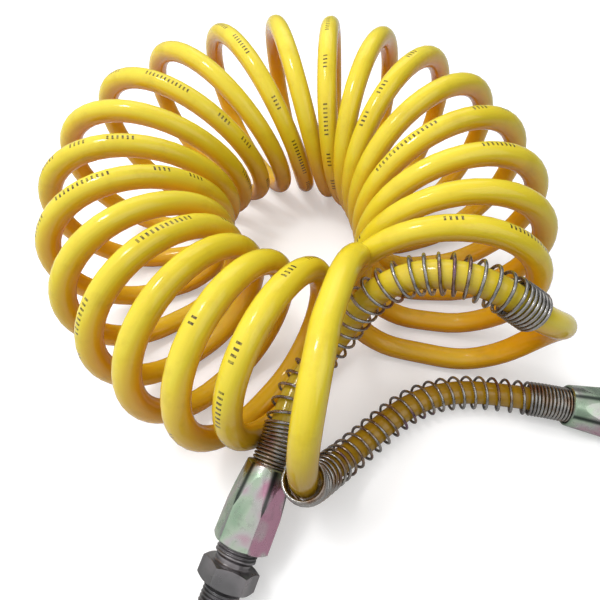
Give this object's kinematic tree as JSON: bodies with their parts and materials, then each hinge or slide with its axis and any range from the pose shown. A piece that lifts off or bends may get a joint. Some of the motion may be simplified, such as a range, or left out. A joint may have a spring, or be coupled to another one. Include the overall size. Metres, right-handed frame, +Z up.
{
  "type": "coiled air hose",
  "caption": "Coiled nylon air hose lying in an open ring, with a spring kink guard, a union nut and a male threaded adapter at each end.",
  "frame": {"origin": "centre of the bounding box on the floor that the hose lies on", "axes": "+Z up from the floor, the shortest side; +Y from the free ends in front across the ring to its back, the longest side; +X to the right seen from the free ends"},
  "size_m": [0.3448, 0.3657, 0.1196],
  "materials": {
    "nylon_hose": "glossy, slightly translucent yellow polyamide",
    "spring_steel": "drawn spring wire with a faint bronze tint",
    "zinc_plated_steel": "bright zinc plating with a green and pink sheen",
    "dark_steel": "satin grey plated steel",
    "brass": "turned brass"
  },
  "bodies": {
    "hose": {"hose_coil": "nylon_hose", "hose_tail_a": "nylon_hose", "hose_tail_b": "nylon_hose", "spring_guard_a": "spring_steel", "spring_guard_b": "spring_steel", "ferrule_a": "brass", "ferrule_b": "brass", "support_sleeve_a": "brass", "support_sleeve_b": "brass"},
    "nut_a": {"union_nut_a": "zinc_plated_steel"},
    "nut_b": {"union_nut_b": "zinc_plated_steel"},
    "fitting_a": {"adapter_a": "dark_steel"},
    "fitting_b": {"adapter_b": "dark_steel"}
  },
  "joints": [
    {"name": "nut_a_spin", "type": "hinge", "parent": "hose", "child": "nut_a", "pos_m": [-0.0396, -0.1273, 0.0292], "axis": [0.381, 0.8557, 0.3502], "range_deg": [0, 1800]},
    {"name": "adapter_a_slide", "type": "slide", "parent": "hose", "child": "fitting_a", "axis": [-0.381, -0.8557, -0.3502], "range_m": [0, 0.0076]},
    {"name": "nut_b_spin", "type": "hinge", "parent": "hose", "child": "nut_b", "pos_m": [0.111, -0.093, 0.0127], "axis": [-0.9703, 0.2419, 0], "range_deg": [0, 1800]},
    {"name": "adapter_b_slide", "type": "slide", "parent": "hose", "child": "fitting_b", "axis": [0.9703, -0.2419, 0], "range_m": [0, 0.0076]}
  ],
  "couplings": [
    {"joint": "adapter_a_slide", "follows": "nut_a_spin", "m_per_rad": 0.00023873},
    {"joint": "adapter_b_slide", "follows": "nut_b_spin", "m_per_rad": 0.00023873}
  ]
}
